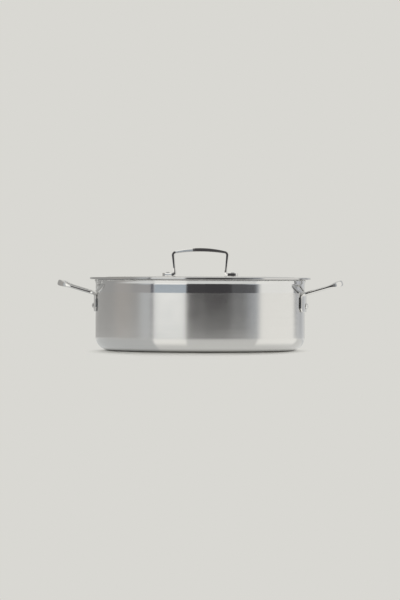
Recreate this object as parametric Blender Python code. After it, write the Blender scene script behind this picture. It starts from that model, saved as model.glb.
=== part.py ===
"""Deep saute pan with two loop handles and a flat lid, built as separate riveted pieces.

The pan stands on the plane z = 0 with its axis on +Z and its loop handles along X.
Every size is in metres and every angle in radians.
"""

import math

import bmesh
import bpy
from mathutils import Matrix, Vector

# Fits between pieces
SEAT_GAP = 0.0003
RIVET_HOLE_CLEARANCE = 0.0003
LOCATING_RING_CLEARANCE = 0.0013

# Pan body: one clad sheet, drawn
PAN_INNER_RADIUS = 0.1400
PAN_WALL = 0.0025
PAN_HEIGHT = 0.0964
PAN_CORNER_RADIUS = 0.0195
LIP_HEIGHT = 0.0054
LIP_REACH = 0.0013
LIP_BEND_RADIUS = 0.0060

# Loop handles: a cast blank, bent where the plate meets the loop
PLATE_BOTTOM_HEIGHT = 0.0528
PLATE_THICKNESS = 0.0023
PLATE_WIDTH = 0.0790
PLATE_CORNER_RADIUS = 0.0060
PLATE_SHOULDER_RADIUS = 0.0060
LOOP_BEND_HEIGHT = 0.0769
LOOP_BEND_RADIUS = 0.0045
LOOP_RISE = math.radians(17.6)
LOOP_REACH = 0.0516
LOOP_ROOT_WIDTH = 0.0590
LOOP_TIP_WIDTH = 0.0570
LOOP_CORNER_RADIUS = 0.0210
LOOP_ROOT_WEB = 0.0040
ARM_WIDTH = 0.0085
ARM_THICKNESS = 0.0042
ARM_EDGE_RADIUS = 0.0016
GRIP_WIDTH = 0.0075
GRIP_THICKNESS = 0.0078
GRIP_SWELL_LENGTH = 0.0110
FINGER_HOLE_ROOT_RADIUS = 0.0070

# Rivets of the loop handles
HANDLE_RIVET_SPACING = 0.0260
HANDLE_RIVET_HEIGHT = 0.0606
HANDLE_RIVET_SHANK_RADIUS = 0.0025
HANDLE_RIVET_HEAD_RADIUS = 0.0042
HANDLE_RIVET_HEAD_HEIGHT = 0.0020
HANDLE_RIVET_TAIL_RADIUS = 0.0048
HANDLE_RIVET_TAIL_HEIGHT = 0.0012

# Lid: one sheet with a raised flat panel, a locating ring and a thick flange
LID_SHEET = 0.0012
LID_OVERHANG = 0.0079
LID_FLANGE_THICKNESS = 0.0028
LID_EDGE_RADIUS = 0.0006
LID_RING_DEPTH = 0.0050
LID_RING_WIDTH = 0.0100
LID_BEND_RADIUS = 0.0014
LID_PANEL_RISE = 0.0017
LID_PANEL_FLAT_RADIUS = 0.0620
LID_PANEL_FALL = 0.0010
LID_PANEL_BLEND_RADIUS = 0.5000

# Lid handle: a cast strap with two feet, thickest at its crown
STRAP_FOOT_THICKNESS = 0.0039
STRAP_LEG_THICKNESS = 0.0022
STRAP_SHOULDER_THICKNESS = 0.0031
STRAP_CROWN_THICKNESS = 0.0047
STRAP_EDGE_RADIUS = 0.0003
STRAP_RISE = 0.0382
STRAP_TOP_WIDTH = 0.0210
STRAP_TOP_BLEND_RADIUS = 0.1500
STRAP_LEG_WIDTH = 0.0166
STRAP_LEG_SPAN = 0.0690
STRAP_LEG_LEAN = math.radians(5.5)
STRAP_SHOULDER_SLOPE = math.radians(10.8)
STRAP_SHOULDER_RADIUS = 0.0040
STRAP_ARCH_RADIUS = 0.1760
STRAP_FOOT_BEND_RADIUS = 0.0032
STRAP_FOOT_SPAN = 0.1028
STRAP_FOOT_WIDTH = 0.0240
STRAP_FOOT_END_WIDTH = 0.0170
STRAP_FOOT_CORNER_RADIUS = 0.0060
STRAP_FOOT_NECK_LENGTH = 0.0050

# Rivets of the lid handle
LID_RIVET_SPACING = 0.0110
LID_RIVET_END_MARGIN = 0.0069
LID_RIVET_SHANK_RADIUS = 0.0019
LID_RIVET_HEAD_RADIUS = 0.0030
LID_RIVET_HEAD_HEIGHT = 0.0012
LID_RIVET_TAIL_RADIUS = 0.0034
LID_RIVET_TAIL_HEIGHT = 0.0010

# Facets
TURNED_SEGMENTS = 60
RIVET_SEGMENTS = 16
RIVET_DOME_STEPS = 2
EDGE_STEPS = 3
CHORD_ERROR = 0.00014
CURVE_SLICE = 0.0080
SWELL_SLICE = 0.0028

# Radii, heights and angles that follow from the sizes above
PAN_OUTER_RADIUS = PAN_INNER_RADIUS + PAN_WALL
PLATE_MID_RADIUS = PAN_OUTER_RADIUS + SEAT_GAP + PLATE_THICKNESS / 2
PLATE_FACE_RADIUS = PAN_OUTER_RADIUS + SEAT_GAP + PLATE_THICKNESS
HANDLE_RIVET_ANGLE = HANDLE_RIVET_SPACING / 2 / PLATE_MID_RADIUS
LID_RADIUS = PAN_OUTER_RADIUS + LID_OVERHANG
LID_FLANGE_BOTTOM = PAN_HEIGHT + SEAT_GAP
LID_FLANGE_TOP = LID_FLANGE_BOTTOM + LID_FLANGE_THICKNESS
LID_PANEL_TOP = LID_FLANGE_TOP + LID_PANEL_RISE
STRAP_FOOT_BOTTOM = LID_PANEL_TOP + SEAT_GAP
STRAP_FOOT_TOP = STRAP_FOOT_BOTTOM + STRAP_FOOT_THICKNESS
LID_RIVET_REACH = STRAP_FOOT_SPAN / 2 - LID_RIVET_END_MARGIN

HALF_TURN = math.pi
FULL_TURN = 2 * math.pi
BORE_OVERRUN = 0.0020
MERGE_DISTANCE = 1e-6
SNAP_DISTANCE = 1e-5
SMOOTHING_ANGLE = math.radians(40)
FLAT_NORMAL = 0.99


def arc_steps(radius, turn):
    """Return how many chords follow an arc to within the chord error."""
    step = 2 * math.acos(1 - min(CHORD_ERROR / radius, 1.0))
    return max(math.ceil(abs(turn) / step), 1)


def smooth_step(low, high, value):
    """Rise smoothly from 0 at low to 1 at high."""
    t = min(max((value - low) / (high - low), 0.0), 1.0)
    return t * t * (3 - 2 * t)


def evenly(low, high, step):
    """Return the inner division points of a span, at most step apart."""
    count = max(math.ceil((high - low) / step), 1)
    return [low + (high - low) * index / count for index in range(1, count)]


class BentPath:
    """A line of straight lengths and bends in a plane, measured along itself."""

    def __init__(self, corners):
        """Take (x, y, bend radius) corners. The first and the last are the line's ends."""
        points = [Vector(corner[:2]) for corner in corners]
        first = points[1] - points[0]
        self.start = points[0]
        self.heading = math.atan2(first.y, first.x)
        self.pieces = []
        reach = 0.0
        for before, point, after, corner in zip(points, points[1:], points[2:], corners[1:]):
            turn = (after - point).angle_signed(point - before)
            next_reach = corner[2] * math.tan(abs(turn) / 2)
            self.pieces.append(((point - before).length - reach - next_reach, 0.0))
            self.pieces.append((corner[2] * abs(turn), turn))
            reach = next_reach
        self.pieces.append(((points[-1] - points[-2]).length - reach, 0.0))
        self.length = self.start_of(len(self.pieces))

    def start_of(self, piece):
        """Return the distance at which a straight length or a bend starts."""
        return sum(length for length, turn in self.pieces[:piece])

    def at(self, distance):
        """Return the point at a distance and the direction to the left of the line there."""
        point = self.start.copy()
        heading = self.heading
        for length, turn in self.pieces:
            run = min(distance, length)
            angle = turn * run / length if length else turn
            chord = 2 * length / turn * math.sin(angle / 2) if angle else run
            middle = heading + angle / 2
            point += Vector((math.cos(middle), math.sin(middle))) * chord
            heading += angle
            distance -= run
            if distance <= 0:
                break
        return point, Vector((-math.sin(heading), math.cos(heading)))

    def bend_marks(self):
        """Return the distances at which chords have to meet to follow the bends."""
        marks = []
        for piece, (length, turn) in enumerate(self.pieces):
            if turn:
                start = self.start_of(piece)
                steps = arc_steps(length / abs(turn), turn)
                marks += [start + length * step / steps for step in range(steps + 1)]
        return marks

    def marks(self):
        """Return the distances of the ends and of the bend marks."""
        return [0.0] + self.bend_marks() + [self.length]


def filleted(corners):
    """Turn the (x, y, radius) corners of a closed outline into points, with arcs for corners."""
    points = []
    for index, (x, y, radius) in enumerate(corners):
        corner = Vector((x, y))
        if not radius:
            points.append(corner)
            continue
        before = (Vector(corners[index - 1][:2]) - corner).normalized()
        after = (Vector(corners[(index + 1) % len(corners)][:2]) - corner).normalized()
        half_angle = before.angle(after) / 2
        reach = radius / math.tan(half_angle)
        centre = corner + (before + after).normalized() * (radius / math.sin(half_angle))
        start = corner + before * reach - centre
        end = corner + after * reach - centre
        turn = end.angle_signed(start)
        steps = arc_steps(radius, turn)
        for step in range(steps + 1):
            points.append(centre + Matrix.Rotation(turn * step / steps, 2) @ start)
    return points


def mirrored_outline(half):
    """Close one side's (x, y, radius) corners with their mirror image across y = 0."""
    return filleted(half + [(x, -y, radius) for x, y, radius in reversed(half)])


def placed(name, mesh, placing=None):
    """Put an object with the given mesh in the scene."""
    item = bpy.data.objects.new(name, mesh)
    item.matrix_world = placing or Matrix.Identity(4)
    bpy.context.scene.collection.objects.link(item)
    return item


def finished_mesh(name, shape, material):
    """Turn a bmesh into a smooth-shaded mesh."""
    bmesh.ops.remove_doubles(shape, verts=shape.verts, dist=MERGE_DISTANCE)
    bmesh.ops.triangulate(shape, faces=shape.faces)
    bmesh.ops.recalc_face_normals(shape, faces=shape.faces)
    mesh = bpy.data.meshes.new(name)
    shape.to_mesh(mesh)
    shape.free()
    mesh.shade_smooth()
    mesh.set_sharp_from_angle(angle=SMOOTHING_ANGLE)
    mesh.materials.append(material)
    return mesh


def steel(name, color, roughness):
    """Make a steel finish."""
    material = bpy.data.materials.new(name)
    material.use_nodes = True
    shader = material.node_tree.nodes["Principled BSDF"]
    shader.inputs["Base Color"].default_value = (*color, 1.0)
    shader.inputs["Metallic"].default_value = 1.0
    shader.inputs["Roughness"].default_value = roughness
    return material


def turned(profile, segments):
    """Spin a profile that starts and ends on the Z axis into a closed body."""
    body = bmesh.new()
    points = [body.verts.new((radius, 0.0, height)) for radius, height in profile]
    edges = [body.edges.new(pair) for pair in zip(points, points[1:])]
    bmesh.ops.spin(
        body,
        geom=points + edges,
        axis=(0, 0, 1),
        cent=(0, 0, 0),
        angle=FULL_TURN,
        steps=segments,
    )
    return body


def cut_blank(outline, hole, thickness, edge_radius):
    """Cut a flat blank out of plate, lying in XY with its middle on z = 0, with rounded edges."""
    blank = bmesh.new()
    for loop in filter(None, (outline, hole)):
        points = [blank.verts.new((x, y, -thickness / 2)) for x, y in loop]
        for pair in zip(points, points[1:] + points[:1]):
            blank.edges.new(pair)
    bmesh.ops.triangle_fill(blank, use_beauty=True, edges=blank.edges)
    raised = bmesh.ops.extrude_face_region(blank, geom=blank.faces[:], use_keep_orig=True)
    top = [item for item in raised["geom"] if isinstance(item, bmesh.types.BMVert)]
    bmesh.ops.translate(blank, verts=top, vec=(0, 0, thickness))
    bmesh.ops.recalc_face_normals(blank, faces=blank.faces)
    rims = []
    for edge in blank.edges:
        if sum(abs(face.normal.z) > FLAT_NORMAL for face in edge.link_faces) == 1:
            rims.append(edge)
    bmesh.ops.bevel(
        blank,
        geom=rims,
        offset=edge_radius,
        offset_type="OFFSET",
        segments=EDGE_STEPS,
        profile=0.5,
        affect="EDGES",
    )
    return blank


def crease(blank, marks, axis):
    """Slice a blank across one axis so that it can bend at the marks."""
    for mark in marks:
        bmesh.ops.bisect_plane(
            blank,
            geom=blank.verts[:] + blank.edges[:] + blank.faces[:],
            dist=SNAP_DISTANCE,
            plane_co=axis * mark,
            plane_no=axis,
        )


def bend(blank, place):
    """Move every point of a creased blank from its flat place to its bent one."""
    bmesh.ops.triangulate(blank, faces=blank.faces)
    for point in blank.verts:
        point.co = place(*point.co)


def bore(name, radius, grip, placing):
    """Make a hidden drill for a rivet whose head seats on z = 0 and whose grip lies below."""
    length = grip + 2 * BORE_OVERRUN
    drill = bmesh.new()
    bmesh.ops.create_cone(
        drill,
        cap_ends=True,
        segments=RIVET_SEGMENTS,
        radius1=radius,
        radius2=radius,
        depth=length,
        matrix=Matrix.Translation((0, 0, BORE_OVERRUN - length / 2)),
    )
    mesh = bpy.data.meshes.new(name)
    drill.to_mesh(mesh)
    drill.free()
    cutter = placed(name, mesh, placing)
    cutter.hide_render = True
    cutter.display_type = "WIRE"
    return cutter


def drill_through(items, cutter):
    """Cut one bore out of each piece that its rivet joins."""
    for item in items:
        cut = item.modifiers.new(cutter.name, "BOOLEAN")
        cut.operation = "DIFFERENCE"
        cut.object = cutter


def rivet_profile(shank_radius, grip, head_radius, head_height, tail_radius, tail_height):
    """Return a rivet's profile: domed head above z = 0, shank through the grip, flat tail below."""
    dome_radius = (head_radius**2 + head_height**2) / (2 * head_height)
    dome_angle = math.asin(head_radius / dome_radius)
    dome_centre = SEAT_GAP + head_height - dome_radius
    profile = []
    for step in range(RIVET_DOME_STEPS + 1):
        angle = dome_angle * step / RIVET_DOME_STEPS
        profile.append((dome_radius * math.sin(angle), dome_centre + dome_radius * math.cos(angle)))
    tail_edge = tail_height / 2
    profile += [
        (shank_radius, SEAT_GAP),
        (shank_radius, -grip),
        (tail_radius, -grip),
        (tail_radius, -grip - tail_edge),
        (tail_radius - tail_edge, -grip - tail_height),
        (0.0, -grip - tail_height),
    ]
    return profile


def make_pan_body(material):
    """Draw the pan: flat base, round corner, straight wall and a flared lip."""
    middle = PAN_OUTER_RADIUS - PAN_WALL / 2
    line = BentPath(
        [
            (0.0, PAN_WALL / 2, 0.0),
            (middle, PAN_WALL / 2, PAN_CORNER_RADIUS - PAN_WALL / 2),
            (middle, PAN_HEIGHT - LIP_HEIGHT, LIP_BEND_RADIUS),
            (middle + LIP_REACH, PAN_HEIGHT - PAN_WALL / 2, 0.0),
        ]
    )
    outside = []
    inside = []
    for mark in line.marks():
        point, left = line.at(mark)
        outside.append(point - left * (PAN_WALL / 2))
        inside.append(point + left * (PAN_WALL / 2))
    rim_centre, left = line.at(line.length)
    rim_steps = arc_steps(PAN_WALL / 2, HALF_TURN)
    rim = []
    for step in range(1, rim_steps):
        turn = Matrix.Rotation(HALF_TURN * step / rim_steps, 2)
        rim.append(rim_centre - turn @ left * (PAN_WALL / 2))
    shape = turned(outside + rim + inside[::-1], TURNED_SEGMENTS)
    return placed("pan_body", finished_mesh("pan_body", shape, material))


def side_handle_mesh(material):
    """Cast one loop handle: a plate that hugs the wall, bent outward into a loop."""
    tip_radius = PAN_OUTER_RADIUS + LOOP_REACH
    tip_height = LOOP_BEND_HEIGHT + (tip_radius - PLATE_MID_RADIUS) * math.tan(LOOP_RISE)
    line = BentPath(
        [
            (PLATE_MID_RADIUS, PLATE_BOTTOM_HEIGHT, 0.0),
            (PLATE_MID_RADIUS, LOOP_BEND_HEIGHT, LOOP_BEND_RADIUS),
            (tip_radius, tip_height, 0.0),
        ]
    )
    bend_start = line.start_of(1)
    root = line.start_of(2)
    tip = line.length
    hole_tip = tip - GRIP_WIDTH
    swell_start = hole_tip - GRIP_SWELL_LENGTH
    half_root = LOOP_ROOT_WIDTH / 2
    half_tip = LOOP_TIP_WIDTH / 2
    outline = [
        (0.0, PLATE_WIDTH / 2, PLATE_CORNER_RADIUS),
        (bend_start, PLATE_WIDTH / 2, PLATE_SHOULDER_RADIUS),
        (root, half_root, PLATE_SHOULDER_RADIUS),
        (tip, half_tip, LOOP_CORNER_RADIUS),
    ]
    hole = [
        (root + LOOP_ROOT_WEB, half_root - ARM_WIDTH, FINGER_HOLE_ROOT_RADIUS),
        (hole_tip, half_tip - ARM_WIDTH, LOOP_CORNER_RADIUS - ARM_WIDTH),
    ]
    blank = cut_blank(mirrored_outline(outline), mirrored_outline(hole), ARM_THICKNESS, ARM_EDGE_RADIUS)
    swell_marks = [swell_start] + evenly(swell_start, hole_tip, SWELL_SLICE) + [hole_tip]
    crease(blank, line.bend_marks() + swell_marks, Vector((1, 0, 0)))
    crease(blank, evenly(-PLATE_WIDTH / 2, PLATE_WIDTH / 2, CURVE_SLICE), Vector((0, 1, 0)))

    def place(along, across, depth):
        thickness = PLATE_THICKNESS
        thickness += (ARM_THICKNESS - PLATE_THICKNESS) * smooth_step(bend_start, root, along)
        thickness += (GRIP_THICKNESS - ARM_THICKNESS) * smooth_step(swell_start, hole_tip, along)
        point, left = line.at(along)
        radius, height = point + left * (depth * thickness / ARM_THICKNESS)
        angle = across / PLATE_MID_RADIUS
        sag = PLATE_MID_RADIUS * (1 - math.cos(angle))
        hugging = Vector((radius - sag, PLATE_MID_RADIUS * math.sin(angle), height))
        straight = Vector((radius, across, height))
        return hugging.lerp(straight, smooth_step(bend_start, hole_tip, along))

    bend(blank, place)
    return finished_mesh("side_handle", blank, material)


def make_side_handles(pan_body, handle_material, rivet_material):
    """Rivet a loop handle to each side of the pan, with two rivets through plate and wall."""
    facet_sag = PAN_INNER_RADIUS * (1 - math.cos(HALF_TURN / TURNED_SEGMENTS))
    tail_sag = PAN_INNER_RADIUS - math.sqrt(PAN_INNER_RADIUS**2 - HANDLE_RIVET_TAIL_RADIUS**2)
    grip = PLATE_FACE_RADIUS - PAN_INNER_RADIUS + facet_sag + tail_sag + SEAT_GAP
    handle_mesh = side_handle_mesh(handle_material)
    profile = rivet_profile(
        HANDLE_RIVET_SHANK_RADIUS,
        grip,
        HANDLE_RIVET_HEAD_RADIUS,
        HANDLE_RIVET_HEAD_HEIGHT,
        HANDLE_RIVET_TAIL_RADIUS,
        HANDLE_RIVET_TAIL_HEIGHT,
    )
    rivet_mesh = finished_mesh("handle_rivet", turned(profile, RIVET_SEGMENTS), rivet_material)
    outward = Matrix.Translation((PLATE_FACE_RADIUS, 0, HANDLE_RIVET_HEIGHT))
    outward @= Matrix.Rotation(FULL_TURN / 4, 4, "Y")
    hole_radius = HANDLE_RIVET_SHANK_RADIUS + RIVET_HOLE_CLEARANCE
    for side, facing, toward_front in (("left", HALF_TURN, 1), ("right", 0.0, -1)):
        handle = placed(f"side_handle_{side}", handle_mesh, Matrix.Rotation(facing, 4, "Z"))
        for row, direction in (("front", toward_front), ("back", -toward_front)):
            angle = facing + direction * HANDLE_RIVET_ANGLE
            placing = Matrix.Rotation(angle, 4, "Z") @ outward
            placed(f"handle_rivet_{side}_{row}", rivet_mesh, placing)
            cutter = bore(f"handle_bore_{side}_{row}", hole_radius, grip, placing)
            drill_through((pan_body, handle), cutter)


def make_lid(material):
    """Press the lid: raised flat panel, locating ring that drops inside the rim, thick flange."""
    ring_outside = PAN_INNER_RADIUS - LOCATING_RING_CLEARANCE
    ring_inside = ring_outside - LID_RING_WIDTH
    ring_bottom = LID_FLANGE_BOTTOM - LID_RING_DEPTH
    panel_edge_top = LID_PANEL_TOP - LID_PANEL_FALL
    wide_bend = LID_BEND_RADIUS + LID_SHEET
    underside = [
        (0.0, LID_PANEL_TOP - LID_SHEET, 0.0),
        (LID_PANEL_FLAT_RADIUS, LID_PANEL_TOP - LID_SHEET, LID_PANEL_BLEND_RADIUS),
        (ring_inside, panel_edge_top - LID_SHEET, LID_BEND_RADIUS),
        (ring_inside, ring_bottom, wide_bend),
        (ring_outside, ring_bottom, wide_bend),
        (ring_outside, LID_FLANGE_BOTTOM, LID_EDGE_RADIUS),
        (LID_RADIUS, LID_FLANGE_BOTTOM, LID_EDGE_RADIUS),
    ]
    top_side = [
        (LID_RADIUS, LID_FLANGE_TOP, LID_EDGE_RADIUS),
        (ring_outside - LID_SHEET, LID_FLANGE_TOP, LID_BEND_RADIUS),
        (ring_outside - LID_SHEET, ring_bottom + LID_SHEET, LID_BEND_RADIUS),
        (ring_inside + LID_SHEET, ring_bottom + LID_SHEET, LID_BEND_RADIUS),
        (ring_inside + LID_SHEET, panel_edge_top, wide_bend),
        (LID_PANEL_FLAT_RADIUS, LID_PANEL_TOP, LID_PANEL_BLEND_RADIUS),
        (0.0, LID_PANEL_TOP, 0.0),
    ]
    line = BentPath(underside + top_side)
    profile = [line.at(mark)[0] for mark in line.marks()]
    return placed("lid", finished_mesh("lid", turned(profile, TURNED_SEGMENTS), material))


def make_lid_handle(material):
    """Cast the lid's strap handle: two feet, two leaning legs and a thick arched top."""
    foot_height = STRAP_FOOT_BOTTOM + STRAP_FOOT_THICKNESS / 2
    crown_height = LID_PANEL_TOP + STRAP_RISE - STRAP_CROWN_THICKNESS / 2
    peak_height = crown_height + STRAP_ARCH_RADIUS * (1 / math.cos(STRAP_SHOULDER_SLOPE) - 1)
    lean = math.tan(STRAP_LEG_LEAN)
    slope = math.tan(STRAP_SHOULDER_SLOPE)
    shoulder_x = (STRAP_LEG_SPAN / 2 + (peak_height - foot_height) * lean) / (1 + slope * lean)
    shoulder_height = peak_height - shoulder_x * slope
    half_line = [
        (STRAP_FOOT_SPAN / 2, foot_height, 0.0),
        (STRAP_LEG_SPAN / 2, foot_height, STRAP_FOOT_BEND_RADIUS),
        (shoulder_x, shoulder_height, STRAP_SHOULDER_RADIUS),
    ]
    mirrored_half = [(-x, height, radius) for x, height, radius in half_line]
    line = BentPath(mirrored_half + [(0.0, peak_height, STRAP_ARCH_RADIUS)] + half_line[::-1])
    middle = line.length / 2
    foot_end = line.start_of(1)
    neck_end = line.start_of(2) + STRAP_FOOT_NECK_LENGTH
    leg_end = line.start_of(4)
    half_outline = [
        (0.0, STRAP_FOOT_END_WIDTH / 2, STRAP_FOOT_CORNER_RADIUS),
        (foot_end, STRAP_FOOT_WIDTH / 2, STRAP_FOOT_BEND_RADIUS),
        (neck_end, STRAP_LEG_WIDTH / 2, STRAP_FOOT_BEND_RADIUS),
        (leg_end, STRAP_LEG_WIDTH / 2, 0.0),
    ]
    other_half = [(line.length - x, y, radius) for x, y, radius in reversed(half_outline)]
    top = [(middle, STRAP_TOP_WIDTH / 2, STRAP_TOP_BLEND_RADIUS)]
    blank = cut_blank(
        mirrored_outline(half_outline + top + other_half),
        None,
        STRAP_LEG_THICKNESS,
        STRAP_EDGE_RADIUS,
    )
    crease(blank, line.bend_marks(), Vector((1, 0, 0)))

    def place(along, across, depth):
        run = min(along, line.length - along)
        share = min((middle - run) / (middle - leg_end), 1.0)
        thickness = STRAP_FOOT_THICKNESS
        thickness += (STRAP_LEG_THICKNESS - STRAP_FOOT_THICKNESS) * smooth_step(foot_end, neck_end, run)
        thickness += (STRAP_SHOULDER_THICKNESS - STRAP_LEG_THICKNESS) * smooth_step(neck_end, leg_end, run)
        thickness += (STRAP_CROWN_THICKNESS - STRAP_SHOULDER_THICKNESS) * (1 - share * share)
        point, left = line.at(along)
        x, height = point + left * (depth * thickness / STRAP_LEG_THICKNESS)
        return Vector((x, across, height))

    bend(blank, place)
    return placed("lid_handle", finished_mesh("lid_handle", blank, material))


def rivet_lid_handle(lid, lid_handle, material):
    """Fasten each foot of the strap to the lid with two rivets and return the rivets."""
    grip = STRAP_FOOT_TOP - (LID_PANEL_TOP - LID_SHEET) + SEAT_GAP
    profile = rivet_profile(
        LID_RIVET_SHANK_RADIUS,
        grip,
        LID_RIVET_HEAD_RADIUS,
        LID_RIVET_HEAD_HEIGHT,
        LID_RIVET_TAIL_RADIUS,
        LID_RIVET_TAIL_HEIGHT,
    )
    mesh = finished_mesh("lid_rivet", turned(profile, RIVET_SEGMENTS), material)
    hole_radius = LID_RIVET_SHANK_RADIUS + RIVET_HOLE_CLEARANCE
    rivets = []
    for side, x in (("left", -LID_RIVET_REACH), ("right", LID_RIVET_REACH)):
        for row, y in (("front", -LID_RIVET_SPACING / 2), ("back", LID_RIVET_SPACING / 2)):
            placing = Matrix.Translation((x, y, STRAP_FOOT_TOP))
            rivets.append(placed(f"lid_rivet_{side}_{row}", mesh, placing))
            cutter = bore(f"lid_bore_{side}_{row}", hole_radius, grip, placing)
            drill_through((lid, lid_handle), cutter)
    return rivets


def hang_on_lift(pieces):
    """Parent the lid's pieces to an empty on the axis along which the lid lifts off."""
    lift = placed("lid_lift", None, Matrix.Translation((0, 0, LID_FLANGE_BOTTOM)))
    bpy.context.view_layer.update()
    for piece in pieces:
        piece.parent = lift
        piece.matrix_parent_inverse = lift.matrix_world.inverted()


def main():
    """Build the pan and its lid."""
    for item in list(bpy.data.objects):
        bpy.data.objects.remove(item, do_unlink=True)
    brushed = steel("pan_steel", (0.62, 0.62, 0.61), 0.30)
    polished = steel("handle_steel", (0.66, 0.65, 0.64), 0.12)
    rivet_steel = steel("rivet_steel", (0.66, 0.66, 0.65), 0.18)
    lid_steel = steel("lid_steel", (0.65, 0.65, 0.64), 0.16)
    pan_body = make_pan_body(brushed)
    make_side_handles(pan_body, polished, rivet_steel)
    lid = make_lid(lid_steel)
    lid_handle = make_lid_handle(polished)
    lid_rivets = rivet_lid_handle(lid, lid_handle, rivet_steel)
    hang_on_lift([lid, lid_handle] + lid_rivets)


main()
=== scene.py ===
"""Dresses the deep saute pan and its lid, and sets them up in a small studio.

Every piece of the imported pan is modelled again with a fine, smooth surface, in the place that
the frame gives it, and gets its own steel finish. Sizes are in metres, angles in degrees where
the name says so, and pixels are those of the 400 by 600 photograph.
"""

import logging
import math
from collections.abc import Callable, Iterable, Sequence
from dataclasses import dataclass
from enum import Enum
from functools import cache
from typing import Any, Union

import bmesh
import bpy
from bmesh.types import BMesh, BMVert
from mathutils import Matrix, Vector


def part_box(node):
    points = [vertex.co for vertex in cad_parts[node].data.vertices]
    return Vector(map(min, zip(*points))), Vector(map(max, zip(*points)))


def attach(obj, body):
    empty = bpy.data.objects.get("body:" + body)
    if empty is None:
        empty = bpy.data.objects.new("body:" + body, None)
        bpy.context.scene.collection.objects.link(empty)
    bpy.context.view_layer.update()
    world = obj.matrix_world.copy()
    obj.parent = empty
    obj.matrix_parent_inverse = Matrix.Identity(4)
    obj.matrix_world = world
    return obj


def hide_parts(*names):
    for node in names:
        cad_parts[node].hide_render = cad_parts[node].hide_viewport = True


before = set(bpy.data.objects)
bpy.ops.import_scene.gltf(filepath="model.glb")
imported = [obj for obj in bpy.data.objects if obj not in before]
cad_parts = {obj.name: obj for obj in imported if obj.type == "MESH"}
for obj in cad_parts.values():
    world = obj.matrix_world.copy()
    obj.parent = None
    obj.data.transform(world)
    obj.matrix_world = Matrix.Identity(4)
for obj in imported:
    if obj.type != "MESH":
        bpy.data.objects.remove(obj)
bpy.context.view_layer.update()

log = logging.getLogger("saute_pan")

Colour = tuple[float, float, float]
Corner = tuple[float, float, float]
Line = list[Vector]
Term = Union["Value", float]

# The gap that stands in for the contact between two pieces.
SEAT_GAP = 0.0003
# How far a chord may stray from its arc, and how near to each other two points count as one.
FINE_CHORD = 0.000008
SAME_PLACE = 0.000001
# The least Z of a level face's normal, and the angles, in degrees, past which edges are sharp.
FLAT_NORMAL = 0.99
TURNED_SHARP = 35.0
CAST_SHARP = 50.0


class Side(Enum):
    """The two sides of the pan, with the direction in which each looks along X."""

    LEFT = -1
    RIGHT = 1


class Row(Enum):
    """The two rivets of a plate or a foot, with the direction of each along Y."""

    FRONT = -1
    BACK = 1


class Grain(Enum):
    """How the tool marks of a finish run over a piece."""

    TURNED = "round the Z axis"
    LENGTHWISE = "along X"
    TUMBLED = "in no direction"


class Zone(Enum):
    """The zones of the pan's sheet, numbered in the order of its finishes."""

    OUTSIDE = 0
    BAND = 1
    INSIDE = 2
    RIM = 3


def rise(low: float, high: float, value: float) -> float:
    """Rise smoothly from 0 at low to 1 at high."""
    t = min(max((value - low) / (high - low), 0.0), 1.0)
    return t * t * (3 - 2 * t)


def between(low: float, high: float, step: float) -> list[float]:
    """Return the inner division points of a span, at most step apart."""
    count = max(math.ceil((high - low) / step), 1)
    return [low + (high - low) * index / count for index in range(1, count)]


def changing(size: float, *changes: tuple[float, float]) -> float:
    """Return a size that has gone a share of the way to each next size.

    Args:
        size: the first size.
        changes: (next size, share from 0 to 1), in the order of the sizes.
    """
    now = size
    for next_size, share in changes:
        now += (next_size - size) * share
        size = next_size
    return now


def arc_steps(radius: float, turn: float) -> int:
    """Return how many chords follow an arc to within the fine chord error."""
    step = 2 * math.acos(1 - min(FINE_CHORD / radius, 1.0))
    return max(math.ceil(abs(turn) / step), 1)


class BentLine:
    """A line of straight lengths and bends in a plane, measured along itself."""

    def __init__(self, corners: Sequence[Corner]) -> None:
        """Lay the line out.

        Args:
            corners: (x, y, bend radius) of each corner. The first and last are the line's ends.
        """
        points = [Vector(corner[:2]) for corner in corners]
        first = points[1] - points[0]
        self.start = points[0]
        self.heading = math.atan2(first.y, first.x)
        self.pieces: list[tuple[float, float]] = []
        reach = 0.0
        for before, point, after, corner in zip(points, points[1:], points[2:], corners[1:]):
            turn = (after - point).angle_signed(point - before)
            next_reach = corner[2] * math.tan(abs(turn) / 2)
            self.pieces.append(((point - before).length - reach - next_reach, 0.0))
            self.pieces.append((corner[2] * abs(turn), turn))
            reach = next_reach
        self.pieces.append(((points[-1] - points[-2]).length - reach, 0.0))
        self.length = self.start_of(len(self.pieces))

    def start_of(self, piece: int) -> float:
        """Return the distance at which a straight length or a bend starts."""
        return sum(length for length, _ in self.pieces[:piece])

    def at(self, distance: float) -> tuple[Vector, Vector]:
        """Return the point at a distance and the direction to the left of the line there."""
        point = self.start.copy()
        heading = self.heading
        for length, turn in self.pieces:
            run = min(distance, length)
            angle = turn * run / length if length else turn
            chord = 2 * length / turn * math.sin(angle / 2) if angle else run
            middle = heading + angle / 2
            point += Vector((math.cos(middle), math.sin(middle))) * chord
            heading += angle
            distance -= run
            if distance <= 0:
                break
        return point, Vector((-math.sin(heading), math.cos(heading)))

    def bend_marks(self) -> list[float]:
        """Return the distances at which chords have to meet to follow the bends."""
        marks = []
        for piece, (length, turn) in enumerate(self.pieces):
            if turn:
                start = self.start_of(piece)
                steps = arc_steps(length / abs(turn), turn)
                marks += [start + length * step / steps for step in range(steps + 1)]
        return marks

    def marks(self) -> list[float]:
        """Return the distances of the ends and of the bend marks."""
        return [0.0] + self.bend_marks() + [self.length]


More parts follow.
